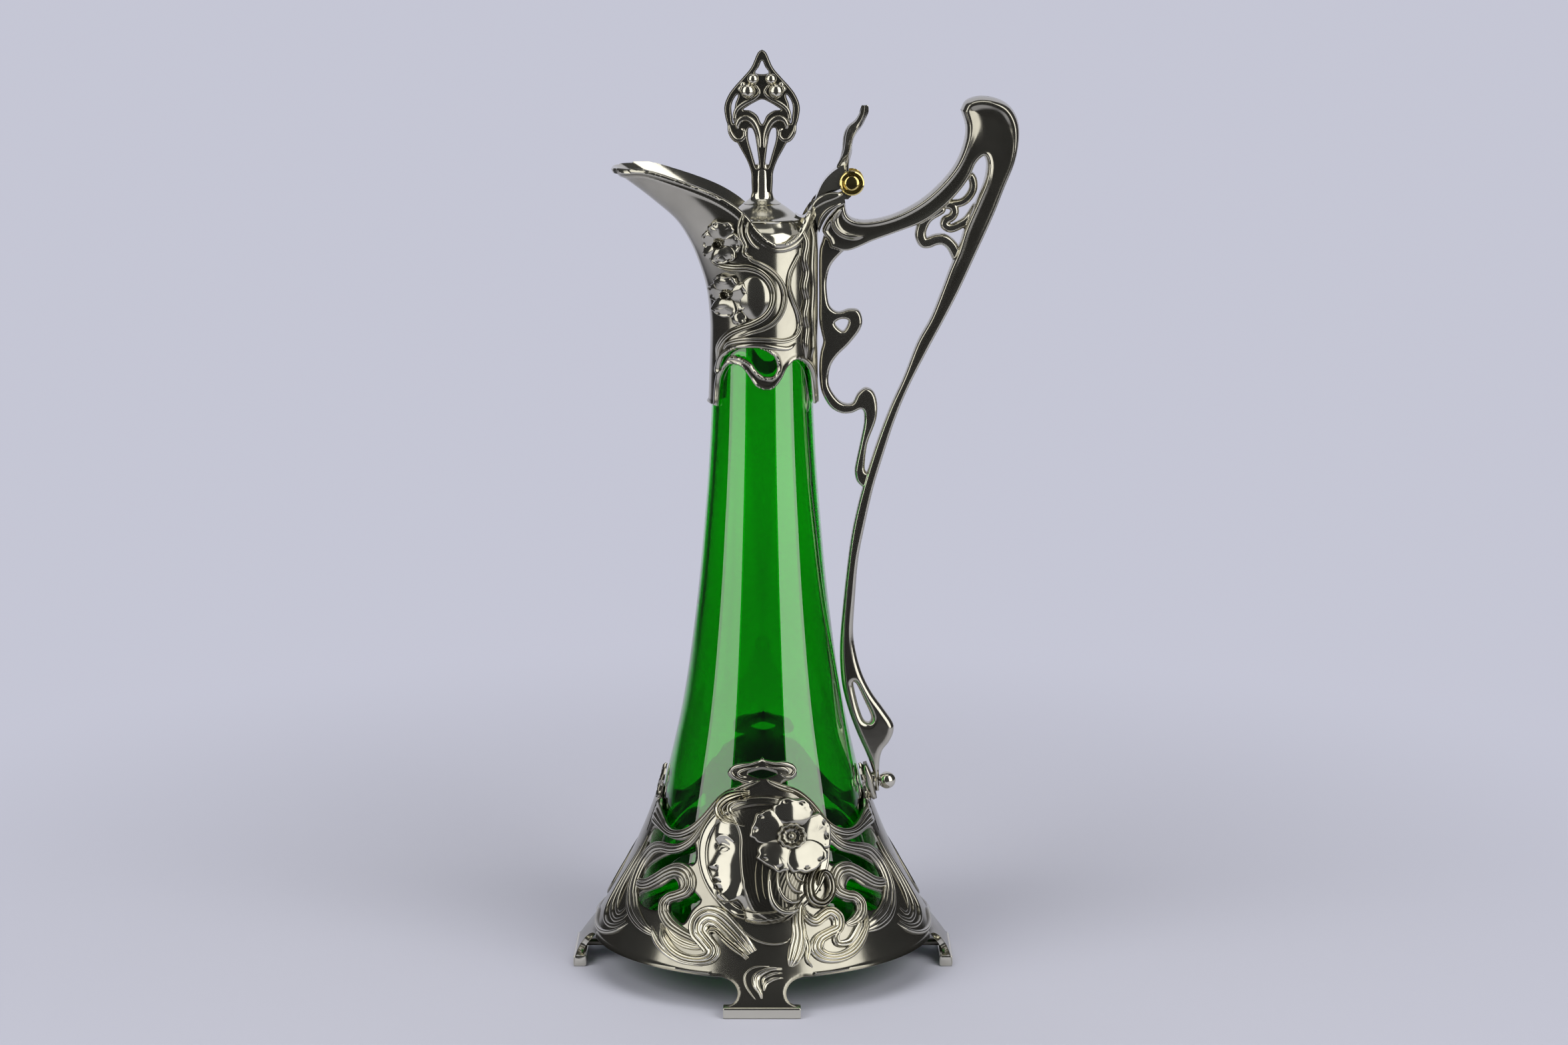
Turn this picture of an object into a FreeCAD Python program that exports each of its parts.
import FreeCAD, Part
import math
import os

# Claret jug: a flared green glass body in a cast openwork base, with a cast spout collar,
# a whiplash handle and a hinged lid with an openwork finial.
# Millimetres. The origin is on the glass axis at table level, +Z is up, the spout points to -X,
# the handle to +X, and the front panel of the base faces -Y.

Vector = FreeCAD.Vector
UP = Vector(0, 0, 1)
AXIS = Vector(0, 0, 0)

# Clearances and one overrun for all cuts
running_gap = 0.05
side_gap = 0.2
rest_gap = 0.15
moving_gap = 0.45
overrun = 20.0

# Glass body
glass_height = 308.5
glass_lift = 8.5
glass_foot_radius = 62.0
glass_neck_radius = 20.6
glass_wall = 3.0
glass_floor = 6.0
# (height share, flare share) of the glass from the straight neck down to the foot
glass_flare_shares = (
    (0.94, 0.0), (0.88, 0.006), (0.82, 0.022), (0.75, 0.044), (0.68, 0.075), (0.61, 0.117),
    (0.53, 0.17), (0.45, 0.24), (0.39, 0.303), (0.33, 0.384), (0.25, 0.522), (0.165, 0.672),
    (0.09, 0.833), (0.024, 1.0),
)
glass_top = glass_lift + glass_height

# Base skirt: four castings, wide front and back panels and narrow side straps
skirt_edge_radius = 76.0
skirt_edge_height = 15.7
skirt_crest_radius = 41.5
skirt_crest_height = 102.5
skirt_flare_power = 1.55
sheet = 1.4
panel_half_angle = 76.0
side_half_angle = 90.0 - panel_half_angle
skirt_stations = 9
skirt_height = skirt_crest_height - skirt_edge_height

# Outlines on the skirt as (angle share, height share) pairs
crest_edge_shares = (
    (0.0, 1.0), (0.045, 0.972), (0.1, 0.962), (0.176, 0.96), (0.25, 0.944), (0.274, 0.912),
    (0.24, 0.888), (0.178, 0.878), (0.15, 0.862), (0.19, 0.84), (0.283, 0.818), (0.37, 0.77),
)
swag_edge_shares = (
    (0.37, 0.77), (0.44, 0.695), (0.52, 0.64), (0.6, 0.607), (0.71, 0.598), (0.83, 0.62),
    (0.93, 0.655), (1.0, 0.7),
)
crest_hole_shares = (
    (0.112, 0.917), (0.06, 0.932), (0.0, 0.94), (-0.06, 0.932), (-0.112, 0.917),
    (-0.06, 0.903), (0.0, 0.896), (0.06, 0.903),
)
slit_shares = (
    (0.484, 0.596), (0.566, 0.561), (0.697, 0.556), (0.855, 0.568), (0.928, 0.539),
    (0.955, 0.44), (0.868, 0.47), (0.763, 0.505), (0.645, 0.52), (0.546, 0.543),
)
upper_opening_shares = (
    (0.46, 0.556), (0.526, 0.52), (0.618, 0.49), (0.717, 0.447), (0.803, 0.389), (0.822, 0.332),
    (0.776, 0.326), (0.684, 0.376), (0.599, 0.427), (0.513, 0.464), (0.432, 0.476),
)
scroll_opening_shares = (
    (0.5, 0.355), (0.553, 0.384), (0.632, 0.332), (0.776, 0.263), (0.724, 0.228), (0.599, 0.229),
    (0.605, 0.286), (0.526, 0.317),
)
lock_opening_shares = (
    (0.526, 0.278), (0.461, 0.295), (0.408, 0.347), (0.342, 0.315), (0.379, 0.268),
    (0.408, 0.205), (0.461, 0.217), (0.507, 0.245),
)
# Directions along which these openings are cut, as shares of the panel's half angle
slit_direction_share = 0.72
upper_direction_share = 0.62
scroll_direction_share = 0.63
lock_direction_share = 0.43
swag_direction_share = 0.68

# Crest of a side strap, as (angle share, height share)
side_crest_shares = (
    (0.0, 0.845), (0.16, 0.82), (0.42, 0.79), (0.5, 0.765), (0.38, 0.74), (0.46, 0.71),
    (0.75, 0.69), (1.0, 0.7),
)

# Medallion on the front and back panels
medallion_half_width = 28.5
medallion_half_height = 25.5
medallion_height = 61.0
medallion_proud = 0.6
medallion_rim = 2.4
medallion_rim_proud = 1.2
# Head in low relief on the medallion
head_side = -5.0
head_height = 61.0
head_half_width = 15.0
head_half_height = 21.0
head_proud = 1.3
# Blossom on the medallion
blossom_side = 11.7
blossom_height = 69.0
blossom_reach = 8.8
petal_radius = 6.6
petal_count = 5
petal_proud = 2.0
blossom_heart_radius = 4.6
blossom_heart_proud = 2.6

# Feet
foot_half_width = 16.4
foot_block_height = 5.0
foot_reach = 83.5
foot_thickness = 5.5
foot_neck_half_width = 10.3
foot_flare_half_width = 17.0
leg_outer_shares = ((0.0, 1.12), (0.25, 0.92), (0.62, 0.62), (0.9, 0.36), (1.0, 0.19), (1.0, 0.0))
leg_thickness = 4.2
ledge_half_width = 6.0
ledge_thickness = 2.4
ledge_reach = 54.0
pad_thickness = 1.0

# Spout collar
collar_radius = 24.0
collar_wall = 1.3
collar_foot_drop = 65.8
collar_sides = 28
# (height above the glass mouth share, front reach share, bluntness) of the collar's sections
collar_rise = 33.5
collar_reach = 62.9
collar_section_shares = (
    (-1.97, 0.373, 2.0), (-1.6, 0.365, 2.0), (-1.2, 0.359, 2.0), (-0.9, 0.36, 2.0),
    (-0.5, 0.384, 2.05), (-0.15, 0.44, 2.15), (0.12, 0.503, 2.25), (0.37, 0.592, 2.4),
    (0.61, 0.738, 2.55), (0.8, 0.868, 2.65), (0.95, 0.985, 2.7), (1.12, 1.14, 2.7),
)
# (reach share, rise share) of the rim seen from the side, from the spout's lip to the back
rim_shares = (
    (-1.06, 0.985), (-0.98, 1.0), (-0.78, 1.02), (-0.54, 0.9), (-0.33, 0.755), (-0.19, 0.61),
    (-0.095, 0.46), (-0.01, 0.26), (0.08, 0.135), (0.14, 0.118), (0.2, 0.155), (0.255, 0.25),
    (0.305, 0.43), (0.345, 0.545), (0.39, 0.615), (0.46, 0.66),
)
# Lower edge, as (radius share, drop share) of the collar's foot
scallop_shares = (
    (-0.81, 1.0), (-0.76, 0.82), (-0.6, 0.73), (-0.38, 0.735), (-0.23, 0.8), (-0.11, 0.86),
    (0.06, 0.885), (0.21, 0.873), (0.34, 0.82), (0.44, 0.75), (0.56, 0.705), (0.67, 0.7),
    (0.8, 0.737), (0.9, 0.813), (0.96, 1.0),
)
window_shares = (
    (-0.78, 0.785), (-0.71, 0.69), (-0.48, 0.627), (-0.22, 0.607), (-0.02, 0.62), (0.19, 0.66),
    (0.265, 0.715), (0.262, 0.77), (0.16, 0.8), (0.01, 0.79), (-0.12, 0.75), (-0.2, 0.712),
    (-0.38, 0.678), (-0.6, 0.678),
)
bedding_drop = 37.0

# Hinge
hinge_back = 38.1
hinge_rise = 27.8
pin_radius = 1.5
knuckle_radius = 4.4
knuckle_half_length = 2.4
cheek_thickness = 2.9
cap_radius = 5.3
cap_thickness = 1.6
cap_dome = 0.7
saddle_half_width = 8.5
saddle_shares = (
    (-1.06, -0.6), (-0.86, -0.455), (-0.69, -0.35), (-0.5, -0.275), (-0.225, -0.24),
)
saddle_under_shares = ((-0.175, -0.5), (-0.44, -0.64), (-0.69, -0.92), (-0.87, -1.3))
saddle_size = 16.0
knuckle_web_shares = (
    (-0.47, -0.3), (-0.19, -0.175), (0.11, -0.225), (-0.1, -0.43), (-0.32, -0.43),
)
hinge_height = glass_top + hinge_rise

# Lid
lid_radius = 21.2
lid_rise = 19.2
lid_wall = 1.6
lid_boss_radius = 6.0
# (radius share, rise share) of the lid's outer face from the rim to the boss
lid_outer_shares = (
    (1.0, 0.0), (1.0, 0.22), (0.965, 0.36), (0.87, 0.5), (0.8, 0.6), (0.69, 0.67), (0.49, 0.84),
    (0.283, 0.985),
)
lid_step_rise_share = 0.045
lid_bottom = glass_top + rest_gap

# Hinge strap from the lid's back to the centre knuckle, in shares of the hinge's size
strap_half_width = 5.4
strap_upper_shares = (
    (-1.49, -0.83), (-1.38, -0.9), (-1.27, -0.91), (-1.15, -0.77), (-0.975, -0.45),
    (-0.79, -0.03), (-0.42, 0.36), (-0.22, 0.48),
)
strap_lower_shares = (
    (-0.1, -0.14), (-0.32, -0.16), (-0.57, -0.2), (-0.755, -0.3), (-0.89, -0.45),
    (-1.0, -0.675), (-1.09, -0.89), (-1.17, -1.12),
)
strap_root_share = (-1.55, -1.15)
strap_size = 16.0

# Thumbpiece, in shares of its own height from the hinge axis
thumb_height = 33.0
thumb_half_width = 7.0
thumb_left_shares = (
    (-0.2, 0.17), (-0.115, 0.39), (-0.1, 0.56), (-0.06, 0.69), (0.05, 0.79), (0.105, 0.88),
    (0.135, 0.985),
)
thumb_right_shares = (
    (0.2, 0.97), (0.19, 0.86), (0.12, 0.72), (0.05, 0.63), (-0.005, 0.5), (-0.01, 0.34),
    (-0.04, 0.17),
)
thumb_leaf_shares = ((0.45, 0.0), (0.75, 0.25), (1.0, 0.52), (0.82, 0.78), (0.32, 1.02))

# Finial, in shares of its half width and height above the lid's boss
finial_height = 63.8
finial_half_width = 16.2
finial_outline_shares = (
    (0.0, 1.0), (0.12, 0.975), (0.28, 0.885), (0.49, 0.82), (0.7, 0.762), (0.88, 0.7),
    (0.99, 0.62), (0.93, 0.52), (0.75, 0.43), (0.57, 0.345), (0.4, 0.265), (0.28, 0.19),
    (0.2, 0.1), (0.18, 0.03),
)
finial_stem_shares = (
    (0.0, 0.27), (0.15, 0.25), (0.27, 0.2), (0.29, 0.14), (0.3, 0.08), (0.33, 0.03), (0.38, 0.0),
)
# (height share, half thickness share of the half width) of the finial's head from the side
finial_side_shares = ((0.03, 0.24), (0.3, 0.23), (0.45, 0.18), (0.8, 0.16), (1.0, 0.09))
finial_peak_hole_shares = ((0.0, 0.935), (0.1, 0.89), (0.2, 0.845), (0.0, 0.835), (-0.2, 0.845),
                           (-0.1, 0.89))
finial_side_hole_shares = (
    (0.68, 0.715), (0.83, 0.65), (0.855, 0.58), (0.79, 0.505), (0.735, 0.56), (0.745, 0.63),
    (0.66, 0.68),
)
finial_middle_hole_shares = (
    (0.0, 0.67), (0.2, 0.635), (0.45, 0.6), (0.25, 0.57), (0.0, 0.5), (-0.25, 0.57),
    (-0.45, 0.6), (-0.2, 0.635),
)
finial_slot_shares = (
    (0.33, 0.49), (0.39, 0.45), (0.35, 0.37), (0.2, 0.23), (0.16, 0.24), (0.19, 0.36),
    (0.25, 0.45),
)
# Berries as (side share, height share, radius share of the half width), one cluster per side
berry_shares = (
    (0.23, 0.81, 0.16), (0.37, 0.728, 0.185), (0.5, 0.785, 0.085), (0.545, 0.752, 0.085),
)
stud_radius = 1.6
stud_nut_radius = 3.4
stud_nut_height = 2.2

# Handle, in shares of the reach behind the collar and of the height above the handle's foot
handle_reach = 85.1
handle_foot_below_crest = 26.5
handle_foot_height = skirt_crest_height - handle_foot_below_crest
handle_rise_over_hinge = 36.5
handle_height = hinge_height + handle_rise_over_hinge - handle_foot_height
arm_top_shares = (
    (0.133, 0.852), (0.15, 0.835), (0.208, 0.828), (0.303, 0.83), (0.411, 0.84), (0.521, 0.858),
    (0.615, 0.882), (0.683, 0.907), (0.722, 0.935), (0.73, 0.958), (0.706, 0.981),
)
hook_shares = (
    (0.706, 0.981), (0.733, 0.994), (0.8, 1.0), (0.882, 0.997), (0.951, 0.986), (0.992, 0.966),
    (1.0, 0.941), (0.981, 0.909), (0.928, 0.871),
)
grip_back_shares = (
    (0.928, 0.871), (0.875, 0.833), (0.796, 0.783), (0.716, 0.733), (0.649, 0.695),
    (0.555, 0.645), (0.459, 0.591), (0.391, 0.544), (0.337, 0.497), (0.283, 0.446),
    (0.236, 0.386), (0.207, 0.341), (0.192, 0.288), (0.183, 0.239),
)
heel_shares = (
    (0.183, 0.239), (0.196, 0.208), (0.228, 0.176), (0.277, 0.148), (0.34, 0.123),
    (0.389, 0.102), (0.393, 0.088), (0.37, 0.073), (0.336, 0.06), (0.322, 0.04),
)
blade_back_share = 0.322
grip_front_shares = (
    (0.3, 0.0), (0.289, 0.027), (0.254, 0.055), (0.204, 0.087), (0.161, 0.12), (0.129, 0.155),
    (0.116, 0.19), (0.116, 0.225), (0.128, 0.271), (0.146, 0.323), (0.169, 0.375),
    (0.199, 0.417), (0.234, 0.455), (0.296, 0.512), (0.363, 0.563), (0.431, 0.606),
    (0.499, 0.656), (0.566, 0.691), (0.62, 0.73), (0.66, 0.761), (0.696, 0.785), (0.731, 0.817),
    (0.787, 0.855), (0.825, 0.882), (0.837, 0.903),
)
arm_under_shares = (
    (0.837, 0.903), (0.828, 0.915), (0.814, 0.915), (0.785, 0.906), (0.757, 0.889),
    (0.705, 0.868), (0.623, 0.845), (0.522, 0.825), (0.385, 0.81), (0.276, 0.799),
    (0.15, 0.785), (0.06, 0.79),
)
heel_hole_shares = (
    (0.186, 0.161), (0.196, 0.145), (0.214, 0.125), (0.237, 0.108), (0.261, 0.103),
    (0.277, 0.108), (0.268, 0.118), (0.242, 0.134), (0.204, 0.157),
)
bracket_back_shares = (
    (0.05, 0.83), (0.02, 0.8), (-0.03, 0.78), (-0.04, 0.72), (-0.02, 0.687), (0.016, 0.668),
    (0.024, 0.656), (0.005, 0.641), (-0.02, 0.622), (-0.01, 0.602), (0.019, 0.583),
    (0.06, 0.563), (0.115, 0.554), (0.17, 0.554), (0.222, 0.559), (0.233, 0.543), (0.213, 0.512),
    (0.193, 0.485), (0.186, 0.469), (0.202, 0.454), (0.25, 0.446),
)
bracket_front_shares = (
    (0.262, 0.466), (0.241, 0.472), (0.241, 0.487), (0.254, 0.512), (0.295, 0.544),
    (0.301, 0.567), (0.281, 0.585), (0.239, 0.591), (0.2, 0.583), (0.17, 0.569), (0.115, 0.571),
    (0.067, 0.587), (0.053, 0.602), (0.066, 0.622), (0.101, 0.637), (0.155, 0.652),
    (0.21, 0.672), (0.223, 0.687), (0.203, 0.701), (0.155, 0.703), (0.1, 0.699), (0.059, 0.707),
    (0.045, 0.726), (0.045, 0.745), (0.065, 0.764), (0.113, 0.78), (0.181, 0.796),
)
bracket_hole_shares = ((0.086, 0.682), (0.12, 0.688), (0.15, 0.685), (0.125, 0.672))
# Centrelines of the three curled rods between the arm and the grip
upper_curl_shares = (
    (0.735, 0.895), (0.768, 0.886), (0.774, 0.872), (0.75, 0.859), (0.716, 0.852),
    (0.675, 0.85),
)
middle_curl_shares = (
    (0.61, 0.85), (0.665, 0.848), (0.682, 0.84), (0.668, 0.832), (0.637, 0.827),
    (0.634, 0.82), (0.666, 0.816), (0.71, 0.821), (0.749, 0.829), (0.79, 0.846),
)
lower_curl_shares = (
    (0.61, 0.843), (0.55, 0.832), (0.519, 0.82), (0.508, 0.807), (0.521, 0.796),
    (0.55, 0.794), (0.59, 0.799), (0.63, 0.8), (0.665, 0.794), (0.7, 0.775),
)
curl_half_width = 1.45
lower_curl_half_width = 1.7
curl_half_thickness = 2.4
bracket_half_thickness = 3.4
# (height share, half thickness share) of the grip seen from behind
grip_half_thickness = 8.0
grip_taper_shares = (
    (-0.02, 0.42), (0.06, 0.46), (0.2, 0.42), (0.4, 0.44), (0.6, 0.55), (0.8, 0.75),
    (0.93, 0.95), (1.02, 1.0),
)
handle_chamfer = 0.8

# Ball-headed screw through the handle's foot
screw_rise = 4.7
screw_height = handle_foot_height + screw_rise
screw_radius = 1.5
ball_radius = 3.8
ball_standoff = 3.4
screw_shoulder_radius = 2.6
screw_shoulder = 0.9
boss_radius = 4.0


def smooth(points):
    """Smooth edge through the points in their order."""
    curve = Part.BSplineCurve()
    curve.interpolate(points)
    return curve.toShape()


def ring(points):
    """Smooth closed wire through the points."""
    curve = Part.BSplineCurve()
    curve.interpolate(Points=points, PeriodicFlag=True)
    return Part.Wire(curve.toShape())


def straight(*points):
    """Straight edges from each point to the next."""
    return [Part.LineSegment(a, b).toShape() for a, b in zip(points, points[1:])]


def closed_face(edges):
    """Flat face inside edges that follow each other and return to their start."""
    return Part.Face(Part.Wire(Part.sortEdges(edges)[0]))


def placed(shares, origin, width, height):
    """Points in the plane of the handle, from shares of a width and a height."""
    x, z = origin
    return [Vector(x + a * width, 0, z + b * height) for a, b in shares]


def slab(face, half):
    """Solid that reaches the same distance to both sides of a face in the handle's plane."""
    moved = face.copy()
    moved.translate(Vector(0, -half, 0))
    return moved.extrude(Vector(0, 2 * half, 0))


def turned(face):
    """Full turn of a profile in the XZ plane about the glass axis."""
    return face.revolve(AXIS, UP, 360)


def around(shape, angle):
    """Copy of a shape turned about the glass axis."""
    copy = shape.copy()
    copy.rotate(AXIS, UP, angle)
    return copy


def cylinder_y(radius, start, end):
    """Cylinder on the hinge axis between two places along Y."""
    return Part.makeCylinder(radius, end - start, Vector(hinge_back, start, hinge_height),
                             Vector(0, 1, 0))


def flare_face(neck, foot, floor):
    """Half section of a flared vessel from its mouth down to a rounded foot."""
    wall = [Vector(neck + b * (foot - neck), 0, glass_lift + a * glass_height)
            for a, b in glass_flare_shares]
    end = wall[-1]
    corner = end.z - floor
    middle = Vector(end.x - corner * (1 - math.cos(math.pi / 4)), 0,
                    end.z - corner * math.sin(math.pi / 4))
    sole = Vector(end.x - corner, 0, floor)
    mouth = Vector(neck, 0, glass_top)
    edges = straight(Vector(0, 0, glass_top), mouth, wall[0])
    edges.append(smooth(wall))
    edges.append(Part.Arc(end, middle, sole).toShape())
    edges += straight(sole, Vector(0, 0, floor), Vector(0, 0, glass_top))
    return closed_face(edges)


def make_glass_body():
    """Round flared glass body with a thick floor and an open neck."""
    outer = turned(flare_face(glass_neck_radius, glass_foot_radius, glass_lift))
    inner = turned(flare_face(glass_neck_radius - glass_wall, glass_foot_radius - glass_wall,
                              glass_lift + glass_floor))
    return outer.cut(inner)


def skirt_radius(height):
    """Outer radius of the skirt at a height."""
    left = max(0, (skirt_crest_height - height) / skirt_height)
    return skirt_crest_radius + (skirt_edge_radius - skirt_crest_radius) * left ** skirt_flare_power


def skirt_slope(height):
    """How much the skirt's radius grows for each unit down."""
    left = max(0, (skirt_crest_height - height) / skirt_height)
    spread = (skirt_edge_radius - skirt_crest_radius) / skirt_height
    return spread * skirt_flare_power * left ** (skirt_flare_power - 1)


def skin(start, end, proud, depth):
    """Part of a turn of the skirt's sheet, from a depth under its face to a height over it."""
    heights = [skirt_edge_height + skirt_height * i / (skirt_stations - 1)
               for i in range(skirt_stations)]

    def face_line(offset):
        return [Vector(0, -(skirt_radius(z) + offset * math.hypot(1, skirt_slope(z))), z)
                for z in heights]

    outside = face_line(proud)
    inside = face_line(-depth)
    edges = [smooth(outside), smooth(inside)]
    edges += straight(outside[0], inside[0]) + straight(outside[-1], inside[-1])
    face = closed_face(edges)
    face.rotate(AXIS, UP, start)
    return face.revolve(AXIS, UP, end - start)


def skirt_point(angle, height, direction):
    """Point of the skirt's face, seen flat along a direction, in the plane through the axis."""
    across = skirt_radius(height) * math.sin(math.radians(angle - direction))
    return Vector(across, 0, height)


def skirt_points(shares, direction, half_angle):
    """Points of an outline on the skirt, seen along a direction."""
    return [skirt_point(a * half_angle, skirt_edge_height + b * skirt_height, direction)
            for a, b in shares]


def outward(face, direction):
    """Prism that carries a flat outline outward through the skirt along a direction."""
    prism = face.extrude(Vector(0, -(foot_reach + overrun), 0))
    prism.rotate(AXIS, UP, direction)
    return prism


def opening(shares, direction_share, side):
    """Cutter for one smooth opening in a panel, mirrored by side."""
    direction = direction_share * panel_half_angle
    points = skirt_points(shares, direction, panel_half_angle)
    points = [Vector(side * p.x, 0, p.z) for p in points]
    return outward(Part.Face(ring(points)), side * direction)


def above(points, direction, side):
    """Cutter for all that lies over an edge, up past the crest."""
    top = skirt_crest_height + overrun
    points = [Vector(side * p.x, 0, p.z) for p in points]
    first, last = points[0], points[-1]
    edges = [smooth(points)]
    edges += straight(last, Vector(last.x, 0, top), Vector(first.x, 0, top), first)
    return outward(closed_face(edges), side * direction)


def crest_cutters():
    """Cutters for the panel's upper edge, beside the crest and over the swags."""
    direction = swag_direction_share * panel_half_angle
    cutters = []
    for side in (-1, 1):
        crest = skirt_points(crest_edge_shares, 0, panel_half_angle)
        swag = skirt_points(swag_edge_shares, direction, panel_half_angle)
        cutters.append(above(crest, 0, side))
        cutters.append(above(swag, direction, side))
    return cutters


def opening_cutters():
    """Cutters for the openings between the straps and scrolls of a panel."""
    cutters = [opening(crest_hole_shares, 0, 1)]
    for side in (-1, 1):
        cutters.append(opening(slit_shares, slit_direction_share, side))
        cutters.append(opening(upper_opening_shares, upper_direction_share, side))
        cutters.append(opening(scroll_opening_shares, scroll_direction_share, side))
        cutters.append(opening(lock_opening_shares, lock_direction_share, side))
    return cutters


def leg_face():
    """Section of a leg from the skirt's edge down to its foot block."""
    start = skirt_edge_radius - leg_thickness / 2
    outer = [Vector(0, -(start + a * (foot_reach - start)), b * skirt_edge_height)
             for a, b in leg_outer_shares]
    toe = outer[-1]
    heel = Vector(0, toe.y + foot_thickness, 0)
    ankle = Vector(0, heel.y, foot_block_height)
    inner = [ankle, Vector(0, outer[1].y + leg_thickness, outer[2].z),
             Vector(0, outer[0].y + leg_thickness, outer[0].z)]
    edges = [smooth(outer[:-1])] + straight(outer[-2], toe, heel, ankle)
    edges += [smooth(inner)] + straight(inner[-1], outer[0])
    return closed_face(edges)


def foot_outline():
    """Front view of a foot: a block, a narrow neck and concave flanks up to the skirt."""
    top = skirt_edge_height + leg_thickness
    half = []
    waist = (foot_block_height + skirt_edge_height) / 2
    flank = [Vector(foot_flare_half_width, 0, skirt_edge_height + sheet),
             Vector((foot_neck_half_width + foot_flare_half_width) / 2, 0,
                    skirt_edge_height - sheet),
             Vector(foot_neck_half_width, 0, waist),
             Vector((foot_neck_half_width + foot_half_width) / 2, 0,
                    foot_block_height + leg_thickness / 3),
             Vector(foot_half_width, 0, foot_block_height)]
    half += straight(Vector(0, 0, top), Vector(foot_flare_half_width, 0, top), flank[0])
    half.append(smooth(flank))
    half += straight(flank[-1], Vector(foot_half_width, 0, 0), Vector(0, 0, 0))
    mirror = [edge.mirror(AXIS, Vector(1, 0, 0)) for edge in half]
    return closed_face(half + mirror)


def make_foot():
    """One leg with its foot block and the ledge behind it that carries the glass."""
    leg = leg_face()
    leg.translate(Vector(-foot_flare_half_width, 0, 0))
    leg = leg.extrude(Vector(2 * foot_flare_half_width, 0, 0))
    leg = leg.common(outward(foot_outline(), 0))
    ledge_top = glass_lift - pad_thickness
    reach = foot_reach - foot_thickness / 2
    ledge = Part.makeBox(2 * ledge_half_width, reach - ledge_reach, ledge_thickness,
                         Vector(-ledge_half_width, -reach, ledge_top - ledge_thickness))
    return leg.fuse(ledge)


def oval(half_width, half_height, side, height):
    """Flat oval face, seen from the front."""
    points = []
    sides = 16
    for i in range(sides):
        angle = 2 * math.pi * i / sides
        points.append(Vector(side + half_width * math.cos(angle), 0,
                             height + half_height * math.sin(angle)))
    return Part.Face(ring(points))


def make_blossom():
    """Round petals about a raised heart."""
    petals = []
    for i in range(petal_count):
        angle = math.radians(90 + 360 * i / petal_count)
        side = blossom_side + blossom_reach * math.cos(angle)
        height = blossom_height + blossom_reach * math.sin(angle)
        petals.append(raised(oval(petal_radius, petal_radius, side, height), petal_proud))
    heart = oval(blossom_heart_radius, blossom_heart_radius, blossom_side, blossom_height)
    return petals[0].fuse(petals[1:] + [raised(heart, blossom_heart_proud)])


def raised(face, proud):
    """What a flat outline marks out of a thin layer on the front panel's face."""
    layer = skin(-panel_half_angle / 2, panel_half_angle / 2, proud, sheet / 2)
    return layer.common(outward(face, 0))


def make_medallion():
    """Oval plaque with a raised rim, a head in low relief and a blossom."""
    outer = oval(medallion_half_width, medallion_half_height, 0, medallion_height)
    inner = oval(medallion_half_width - medallion_rim, medallion_half_height - medallion_rim,
                 0, medallion_height)
    plaque = raised(outer, medallion_proud)
    rim = raised(outer.cut(inner), medallion_rim_proud)
    head = raised(oval(head_half_width, head_half_height, head_side, head_height), head_proud)
    return plaque.fuse([rim, head, make_blossom()])


def make_panel():
    """Front panel: sheet with its openwork, medallion and foot."""
    panel = skin(-panel_half_angle, panel_half_angle, 0, sheet)
    panel = panel.fuse(make_medallion())
    panel = panel.cut(crest_cutters() + opening_cutters())
    return panel.fuse(make_foot()).removeSplitter()


def make_side():
    """Side strap, in the front's place: narrow sheet with a crest and a foot."""
    side = skin(-side_half_angle, side_half_angle, 0, sheet)
    edge = skirt_points(side_crest_shares, 0, side_half_angle)
    side = side.cut([above(edge, 0, -1), above(edge, 0, 1)])
    return side.fuse(make_foot()).removeSplitter()


def collar_section(rise, reach, bluntness, inset, parameters):
    """Level section of the collar: a round back and a front drawn out to the spout."""
    points = []
    radius = collar_radius - inset
    power = 2 / bluntness
    for i in range(collar_sides):
        turn = 2 * math.pi * i / collar_sides
        along, across = math.cos(turn), math.sin(turn)
        if along >= 0:
            x, y = radius * along, radius * across
        else:
            x = -(reach - inset) * abs(along) ** power
            y = math.copysign(radius * abs(across) ** power, across)
        points.append(Vector(x, y, rise))
    curve = Part.BSplineCurve()
    if parameters:
        curve.interpolate(Points=points, PeriodicFlag=True, Parameters=parameters)
    else:
        curve.interpolate(Points=points, PeriodicFlag=True)
    return points, curve


def collar_parameters():
    """Common spacing for all sections, from the lengths along a middle one."""
    reach = collar_section_shares[-4][1] * collar_reach
    points, _ = collar_section(0, reach, collar_section_shares[-4][2], 0, None)
    values = [0.0]
    for a, b in zip(points, points[1:] + points[:1]):
        values.append(values[-1] + a.distanceToPoint(b))
    return [v / values[-1] for v in values]


def collar_form(inset):
    """Solid form of the collar before its rim and lower edge are cut."""
    parameters = collar_parameters()
    wires = []
    for rise, reach, bluntness in collar_section_shares:
        height = glass_top + rise * collar_rise
        _, curve = collar_section(height, reach * collar_reach, bluntness, inset, parameters)
        wires.append(Part.Wire(curve.toShape()))
    return Part.makeLoft(wires, True, False)


def rim_cutter():
    """All that lies over the collar's rim."""
    rim = placed(rim_shares, (0, glass_top), collar_reach, collar_rise)
    top = glass_top + 2 * collar_rise
    edges = [smooth(rim)]
    edges += straight(rim[-1], Vector(rim[-1].x, 0, top), Vector(rim[0].x, 0, top), rim[0])
    return slab(closed_face(edges), collar_radius + overrun)


def scallop_cutter():
    """All that lies under the collar's scalloped lower edge."""
    edge = placed(scallop_shares, (0, glass_top), collar_radius, -collar_foot_drop)
    low = glass_top - collar_foot_drop - overrun
    edges = [smooth(edge)]
    edges += straight(edge[-1], Vector(edge[-1].x, 0, low), Vector(edge[0].x, 0, low), edge[0])
    return slab(closed_face(edges), collar_radius + overrun)


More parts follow.
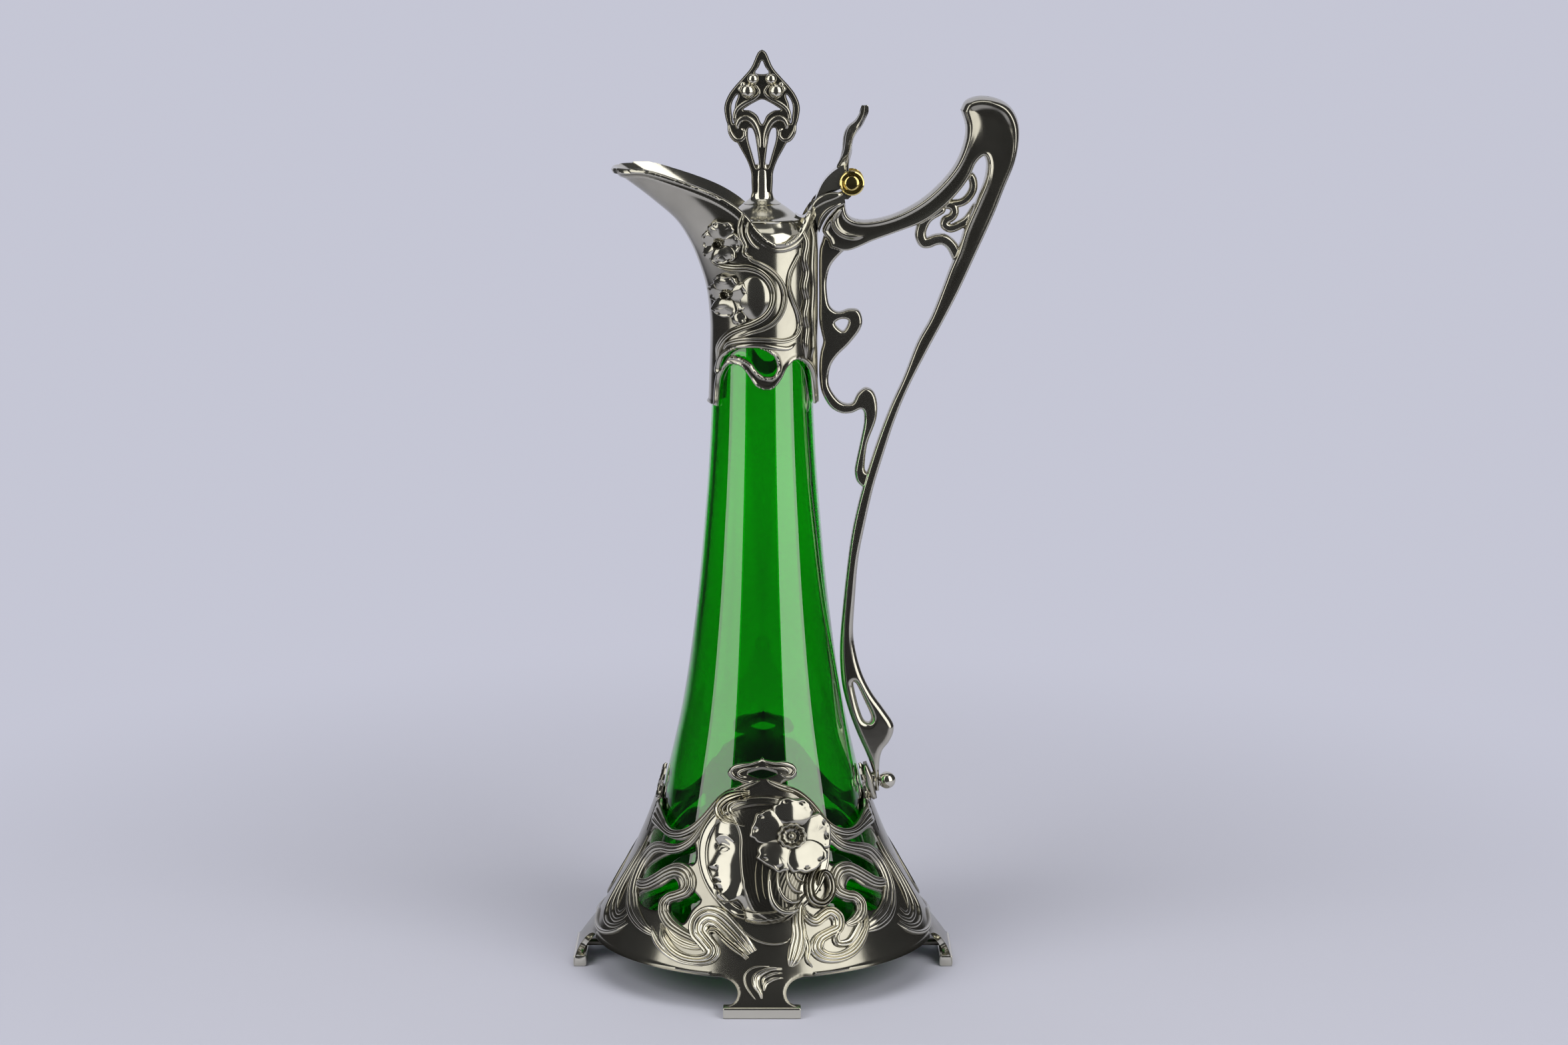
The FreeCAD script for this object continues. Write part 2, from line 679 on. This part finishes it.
def window_cutter():
    """Crescent windows over the strap at the collar's lower edge, one on each side."""
    points = placed(window_shares, (0, glass_top), collar_radius, -collar_foot_drop)
    return slab(Part.Face(ring(points)), collar_radius + overrun)


def hinge_points(shares, size):
    """Points about the hinge axis."""
    return placed(shares, (hinge_back, hinge_height), size, size)


def strap_face():
    """Side view of the hinge strap."""
    upper = hinge_points(strap_upper_shares, strap_size)
    lower = hinge_points(strap_lower_shares, strap_size)
    root = hinge_points([strap_root_share], strap_size)[0]
    edges = [smooth(upper), smooth(lower)]
    edges += straight(upper[-1], lower[0]) + straight(lower[-1], root, upper[0])
    return closed_face(edges)


def strap_room():
    """Room that the collar and the saddle leave for the strap, open to the top."""
    shift = Vector(moving_gap, 0, -moving_gap)
    edge = [p + shift for p in hinge_points(strap_lower_shares[1:], strap_size)]
    root = hinge_points([strap_root_share], strap_size)[0]
    top = hinge_height + strap_size
    corner = Vector(root.x, 0, edge[-1].z)
    edges = [smooth(edge)]
    edges += straight(edge[-1], corner, Vector(root.x, 0, top), Vector(edge[0].x, 0, top), edge[0])
    return slab(closed_face(edges), strap_half_width + moving_gap)


def make_neck_mount(outer_form):
    """Spout collar: a thin cast wall with a scooped rim, windows and a scalloped foot."""
    collar = outer_form.cut(collar_form(collar_wall))
    collar = collar.cut([rim_cutter(), scallop_cutter(), window_cutter(), strap_room()])
    return biggest(collar)


def biggest(shape):
    """Largest solid of a shape, without the crumbs that a cut leaves."""
    return max(shape.Solids, key=lambda solid: solid.Volume)


def make_neck_bedding():
    """Plaster between the glass neck and the collar, over the windows and up to the mouth."""
    low = glass_top - bedding_drop
    half = collar_reach + overrun
    level = Part.makeBox(2 * half, 2 * half, bedding_drop, Vector(-half, -half, low))
    neck = turned(flare_face(glass_neck_radius, glass_foot_radius, glass_lift))
    return biggest(collar_form(collar_wall).common(level).cut(neck))


def make_hinge_saddle(collar_solid):
    """Saddle behind the rim with the two outer knuckles of the hinge."""
    upper = hinge_points(saddle_shares, saddle_size)
    lower = hinge_points(saddle_under_shares, saddle_size)
    edges = [smooth(upper), smooth(lower)]
    edges += straight(upper[-1], lower[0]) + straight(lower[-1], upper[0])
    saddle = slab(closed_face(edges), saddle_half_width)
    inner = knuckle_half_length + side_gap
    outer = inner + cheek_thickness
    web = hinge_points(knuckle_web_shares, strap_size)
    saddle = saddle.fuse(slab(Part.Face(Part.makePolygon(web + web[:1])), outer))
    for side in (-1, 1):
        start, end = sorted((side * inner, side * outer))
        saddle = saddle.fuse(cylinder_y(knuckle_radius, start, end))
    room = cylinder_y(knuckle_radius + moving_gap, -inner, inner)
    bore = cylinder_y(pin_radius + running_gap, -outer - overrun, outer + overrun)
    return biggest(saddle.cut([room, bore, strap_room(), collar_solid]))


def make_hinge_pin():
    """Pin through the three knuckles."""
    half = knuckle_half_length + side_gap + cheek_thickness
    return cylinder_y(pin_radius, -half, half)


def make_hinge_cap(side):
    """Turned brass end cap: a torus rim round a low dome."""
    start = knuckle_half_length + side_gap + cheek_thickness
    disc = [Vector(0, start, 0), Vector(cap_radius, start, 0),
            Vector(cap_radius, start + cap_thickness * 0.6, 0)]
    crown = Vector(cap_radius * 0.86, start + cap_thickness, 0)
    groove_out = Vector(cap_radius * 0.72, start + cap_thickness * 0.6, 0)
    groove_in = Vector(cap_radius * 0.62, start + cap_thickness * 0.6, 0)
    swell = Vector(cap_radius * 0.42, start + cap_thickness * 0.6 + cap_dome * 0.7, 0)
    button = Vector(cap_radius * 0.15, start + cap_thickness * 0.6 + cap_dome, 0)
    edges = straight(*disc)
    edges.append(Part.Arc(disc[-1], crown, groove_out).toShape())
    edges += straight(groove_out, groove_in)
    edges.append(Part.Arc(groove_in, swell, button).toShape())
    edges += straight(button, Vector(0, button.y, 0), disc[0])
    cap = closed_face(edges).revolve(AXIS, Vector(0, 1, 0), 360)
    if side < 0:
        cap = cap.mirror(AXIS, Vector(0, 1, 0))
    cap.translate(Vector(hinge_back, 0, hinge_height))
    return cap


def make_lid():
    """Domed lid with a step and a turned-down rim, open for the stud at its top."""
    def line(radius, rise, drop):
        return [Vector(a * radius, 0, lid_bottom + b * rise - drop) for a, b in lid_outer_shares]

    outer = line(lid_radius, lid_rise, 0)
    inner = line(lid_radius - lid_wall, lid_rise, lid_wall)
    step = Vector(0, 0, lid_step_rise_share * lid_rise)
    low_face = outer[:5]
    high_face = [p + step for p in outer[4:]]
    bore = stud_radius + running_gap
    top = Vector(bore, 0, high_face[-1].z)
    roof = Vector(bore, 0, inner[-1].z)
    edges = straight(inner[1], Vector(inner[1].x, 0, lid_bottom), outer[0], outer[1])
    edges += [smooth(low_face[1:])] + straight(low_face[-1], high_face[0]) + [smooth(high_face)]
    edges += straight(high_face[-1], top, roof, inner[-1]) + [smooth(inner[1:])]
    return turned(closed_face(edges))


def lid_seat_height():
    """Height of the flat boss on which the finial stands."""
    return lid_bottom + (lid_outer_shares[-1][1] + lid_step_rise_share) * lid_rise


def make_lid_strap(lid):
    """Strap soldered to the lid's back, with the centre knuckle."""
    strap = slab(strap_face(), strap_half_width)
    inner = knuckle_half_length + side_gap
    outer = strap_half_width + overrun
    reach = knuckle_radius + moving_gap
    for side in (-1, 1):
        start, end = sorted((side * knuckle_half_length, side * outer))
        strap = strap.cut(cylinder_y(reach, start, end))
    strap = strap.fuse(cylinder_y(knuckle_radius, -knuckle_half_length, knuckle_half_length))
    bore = cylinder_y(pin_radius + running_gap, -inner, inner)
    below = lid_dome_filled()
    return biggest(strap.cut([bore, lid, below]))


def lid_dome_filled():
    """Everything under the lid's outer face, so that a piece can be cut to sit on it."""
    outer = [Vector(a * lid_radius, 0, lid_bottom + b * lid_rise) for a, b in lid_outer_shares]
    edges = [smooth(outer[1:])] + straight(outer[-1], Vector(0, 0, outer[-1].z),
                                          Vector(0, 0, lid_bottom), outer[0], outer[1])
    return turned(closed_face(edges))


def make_thumbpiece(strap):
    """Wavy leaf that the thumb presses, on top of the strap."""
    left = placed(thumb_left_shares, (hinge_back, hinge_height), thumb_height, thumb_height)
    right = placed(thumb_right_shares, (hinge_back, hinge_height), thumb_height, thumb_height)
    edges = [smooth(left), smooth(right)]
    edges += straight(left[-1], right[0]) + straight(right[-1], left[0])
    leaf = slab(closed_face(edges), thumb_half_width)
    half = [Vector(0, a * thumb_half_width, hinge_height + b * thumb_height)
            for a, b in thumb_leaf_shares]
    other = [Vector(0, -p.y, p.z) for p in half]
    outline = [smooth(half), smooth(other)] + straight(half[-1], other[-1])
    outline += straight(other[0], half[0])
    front = closed_face(outline).extrude(Vector(hinge_back + thumb_height, 0, 0))
    room = cylinder_y(knuckle_radius + moving_gap, -thumb_half_width, thumb_half_width)
    return biggest(leaf.common(front).cut([room, strap]))


def finial_points(shares, side=1):
    """Points of the finial's front view, over the lid's boss."""
    seat = lid_seat_height()
    return [Vector(side * a * finial_half_width, 0, seat + b * finial_height)
            for a, b in shares]


def finial_head():
    """Flat openwork head, thinner towards its tip."""
    right = finial_points(finial_outline_shares)
    left = finial_points(finial_outline_shares, -1)
    face = closed_face([smooth(right), smooth(left)] + straight(right[-1], left[-1]))
    plate = slab(face, finial_half_width)
    cutters = [slab(Part.Face(ring(finial_points(hole))), overrun)
               for hole in (finial_peak_hole_shares, finial_middle_hole_shares)]
    for hole in (finial_side_hole_shares, finial_slot_shares):
        for side in (-1, 1):
            cutters.append(slab(Part.Face(ring(finial_points(hole, side))), overrun))
    seat = lid_seat_height()
    back = [Vector(0, b * finial_half_width, seat + a * finial_height)
            for a, b in finial_side_shares]
    front = [Vector(0, -p.y, p.z) for p in back]
    outline = back + front[::-1] + back[:1]
    profile = Part.Face(Part.makePolygon(outline))
    profile.translate(Vector(-overrun, 0, 0))
    return plate.cut(cutters).common(profile.extrude(Vector(2 * overrun, 0, 0)))


def finial_stem():
    """Round waisted stem with the stud below it."""
    seat = lid_seat_height()
    side = [Vector(a * finial_half_width, 0, seat + b * finial_height)
            for a, b in finial_stem_shares]
    stud_end = seat - lid_wall - lid_step_rise_share * lid_rise - stud_nut_height
    edges = [smooth(side)]
    edges += straight(side[-1], Vector(stud_radius, 0, seat), Vector(stud_radius, 0, stud_end),
                      Vector(0, 0, stud_end), side[0])
    return turned(closed_face(edges))


def make_finial():
    """Openwork finial with two clusters of berries, a round stem and a stud for its nut."""
    seat = lid_seat_height()
    berries = []
    for side_share, height_share, radius_share in berry_shares:
        for side in (-1, 1):
            centre = Vector(side * side_share * finial_half_width, 0,
                            seat + height_share * finial_height)
            berries.append(Part.makeSphere(radius_share * finial_half_width, centre))
    return biggest(finial_head().fuse([finial_stem()] + berries))


def make_finial_nut():
    """Hexagonal nut under the lid that holds the finial's stud."""
    under = lid_bottom + lid_outer_shares[-1][1] * lid_rise - lid_wall
    low = under - stud_nut_height
    corners = [Vector(stud_nut_radius * math.cos(math.radians(60 * i)),
                      stud_nut_radius * math.sin(math.radians(60 * i)), low)
               for i in range(6)]
    nut = Part.Face(Part.makePolygon(corners + corners[:1])).extrude(Vector(0, 0, stud_nut_height))
    return nut.cut(Part.makeCylinder(stud_radius + running_gap, stud_nut_height + overrun,
                                     Vector(0, 0, low - overrun / 2)))


def handle_points(shares):
    """Points of the handle's side view."""
    return placed(shares, (collar_radius, handle_foot_height), handle_reach, handle_height)


def rod(shares, half_width):
    """Flat face along a curved centreline, with a constant width and round ends."""
    centre = Part.BSplineCurve()
    centre.interpolate(handle_points(shares))
    stations = 4 * len(shares)
    first, last = centre.FirstParameter, centre.LastParameter
    left, right = [], []
    for i in range(stations + 1):
        at = first + (last - first) * i / stations
        point, tangent = centre.value(at), centre.tangent(at)[0]
        normal = Vector(-tangent.z, 0, tangent.x) * half_width
        left.append(point + normal)
        right.append(point - normal)
    edges = [smooth(left), smooth(right)]
    edges += straight(left[0], right[0]) + straight(left[-1], right[-1])
    return closed_face(edges)


def grip_face():
    """Side view of the grip: arm, hook, back, heel, front and the arm's lower edge."""
    stretches = [handle_points(s) for s in (arm_top_shares, hook_shares, grip_back_shares,
                                            heel_shares, grip_front_shares, arm_under_shares)]
    edges = [smooth(points) for points in stretches]
    toe = Vector(blade_back(), 0, handle_foot_height)
    edges += straight(stretches[3][-1], toe, stretches[4][0])
    edges += straight(stretches[5][-1], stretches[0][0])
    return closed_face(edges)


def grip_taper():
    """Room in which the grip swells from a thin foot to a broad hook."""
    half = [Vector(0, b * grip_half_thickness, handle_foot_height + a * handle_height)
            for a, b in grip_taper_shares]
    other = [Vector(0, -p.y, p.z) for p in half]
    edges = [smooth(half), smooth(other)]
    edges += straight(half[0], other[0]) + straight(half[-1], other[-1])
    return closed_face(edges).extrude(Vector(collar_radius + handle_reach + overrun, 0, 0))


def bracket_face():
    """Side view of the scrolled bracket between the collar and the grip."""
    back = handle_points(bracket_back_shares)
    front = handle_points(bracket_front_shares)
    edges = [smooth(back), smooth(front)]
    edges += straight(back[-1], front[0]) + straight(front[-1], back[0])
    return closed_face(edges)


def make_handle(collar_solid, saddle):
    """Whiplash handle with its scrolled bracket, curled rods and pierced heel."""
    grip = slab(grip_face(), grip_half_thickness)
    grip = grip.cut(slab(Part.Face(ring(handle_points(heel_hole_shares))), overrun))
    grip = grip.common(grip_taper())
    bracket = slab(bracket_face(), bracket_half_thickness)
    bracket = bracket.cut(slab(Part.Face(ring(handle_points(bracket_hole_shares))), overrun))
    rods = [slab(rod(upper_curl_shares, curl_half_width), curl_half_thickness),
            slab(rod(middle_curl_shares, curl_half_width), curl_half_thickness),
            slab(rod(lower_curl_shares, lower_curl_half_width), bracket_half_thickness)]
    handle = grip.fuse([bracket] + rods)
    hole = Part.makeCylinder(screw_radius + running_gap, 2 * overrun,
                             Vector(blade_back() - overrun, 0, screw_height), Vector(1, 0, 0))
    return biggest(handle.cut([collar_solid, saddle, hole]).removeSplitter())


def blade_back():
    """Outer face of the handle's foot at the screw."""
    return collar_radius + blade_back_share * handle_reach


def make_screw():
    """Ball-headed screw that ties the handle's foot to the side strap."""
    back = blade_back() + rest_gap * 2
    along = Vector(1, 0, 0)
    inner_end = skirt_radius(screw_height) - sheet / 2
    shank = Part.makeCylinder(screw_radius, back - inner_end, Vector(inner_end, 0, screw_height),
                              along)
    shoulder = Part.makeCylinder(screw_shoulder_radius, screw_shoulder,
                                 Vector(back, 0, screw_height), along)
    ball = Part.makeSphere(ball_radius, Vector(back + ball_standoff, 0, screw_height))
    cut = Part.makeBox(2 * ball_radius, 2 * ball_radius, 2 * ball_radius,
                       Vector(back - 2 * ball_radius, -ball_radius, screw_height - ball_radius))
    return shank.fuse([shoulder, ball.cut(cut)])


def make_lug_boss(handle):
    """Boss on the right side strap against which the handle's foot is screwed."""
    start = skirt_radius(screw_height) - sheet / 2
    length = blade_back() - start
    boss = Part.makeCylinder(boss_radius, length, Vector(start, 0, screw_height), Vector(1, 0, 0))
    bore = Part.makeCylinder(screw_radius + running_gap, length + 2 * overrun,
                             Vector(start - overrun, 0, screw_height), Vector(1, 0, 0))
    return biggest(boss.cut(handle)), bore


def make_pads():
    """Cork pads between the four ledges and the glass, as one group."""
    pad_reach = glass_foot_radius - ledge_half_width
    pad = Part.makeBox(2 * ledge_half_width, pad_reach - ledge_reach, pad_thickness,
                       Vector(-ledge_half_width, -pad_reach, glass_lift - pad_thickness))
    return Part.makeCompound([around(pad, 90 * i) for i in range(4)])


def main():
    """Build every piece and write it under its own name."""
    collar_solid = collar_form(0)
    saddle = make_hinge_saddle(collar_solid)
    handle = make_handle(collar_solid, saddle)
    lid = make_lid()
    strap = make_lid_strap(lid)
    panel = make_panel()
    side = make_side()
    right_side = around(side, 90)
    boss, bore = make_lug_boss(handle)
    right_side = biggest(right_side.fuse(boss).cut(bore))
    pieces = {
        "glass_body": make_glass_body(),
        "base_panel_front": panel,
        "base_panel_back": around(panel, 180),
        "base_side_left": around(side, -90),
        "base_side_right": right_side,
        "glass_pads": make_pads(),
        "neck_mount": make_neck_mount(collar_solid),
        "neck_bedding": make_neck_bedding(),
        "hinge_saddle": saddle,
        "hinge_pin": make_hinge_pin(),
        "hinge_cap_front": make_hinge_cap(-1),
        "hinge_cap_back": make_hinge_cap(1),
        "handle": handle,
        "handle_screw": make_screw(),
        "lid": lid,
        "lid_strap": strap,
        "thumbpiece": make_thumbpiece(strap),
        "finial": make_finial(),
        "finial_nut": make_finial_nut(),
    }
    os.makedirs("parts", exist_ok=True)
    for name, shape in pieces.items():
        print(name, len(shape.Solids), shape.isValid(), round(shape.Volume, 1))
        shape.exportStep("parts/" + name + ".step")


main()
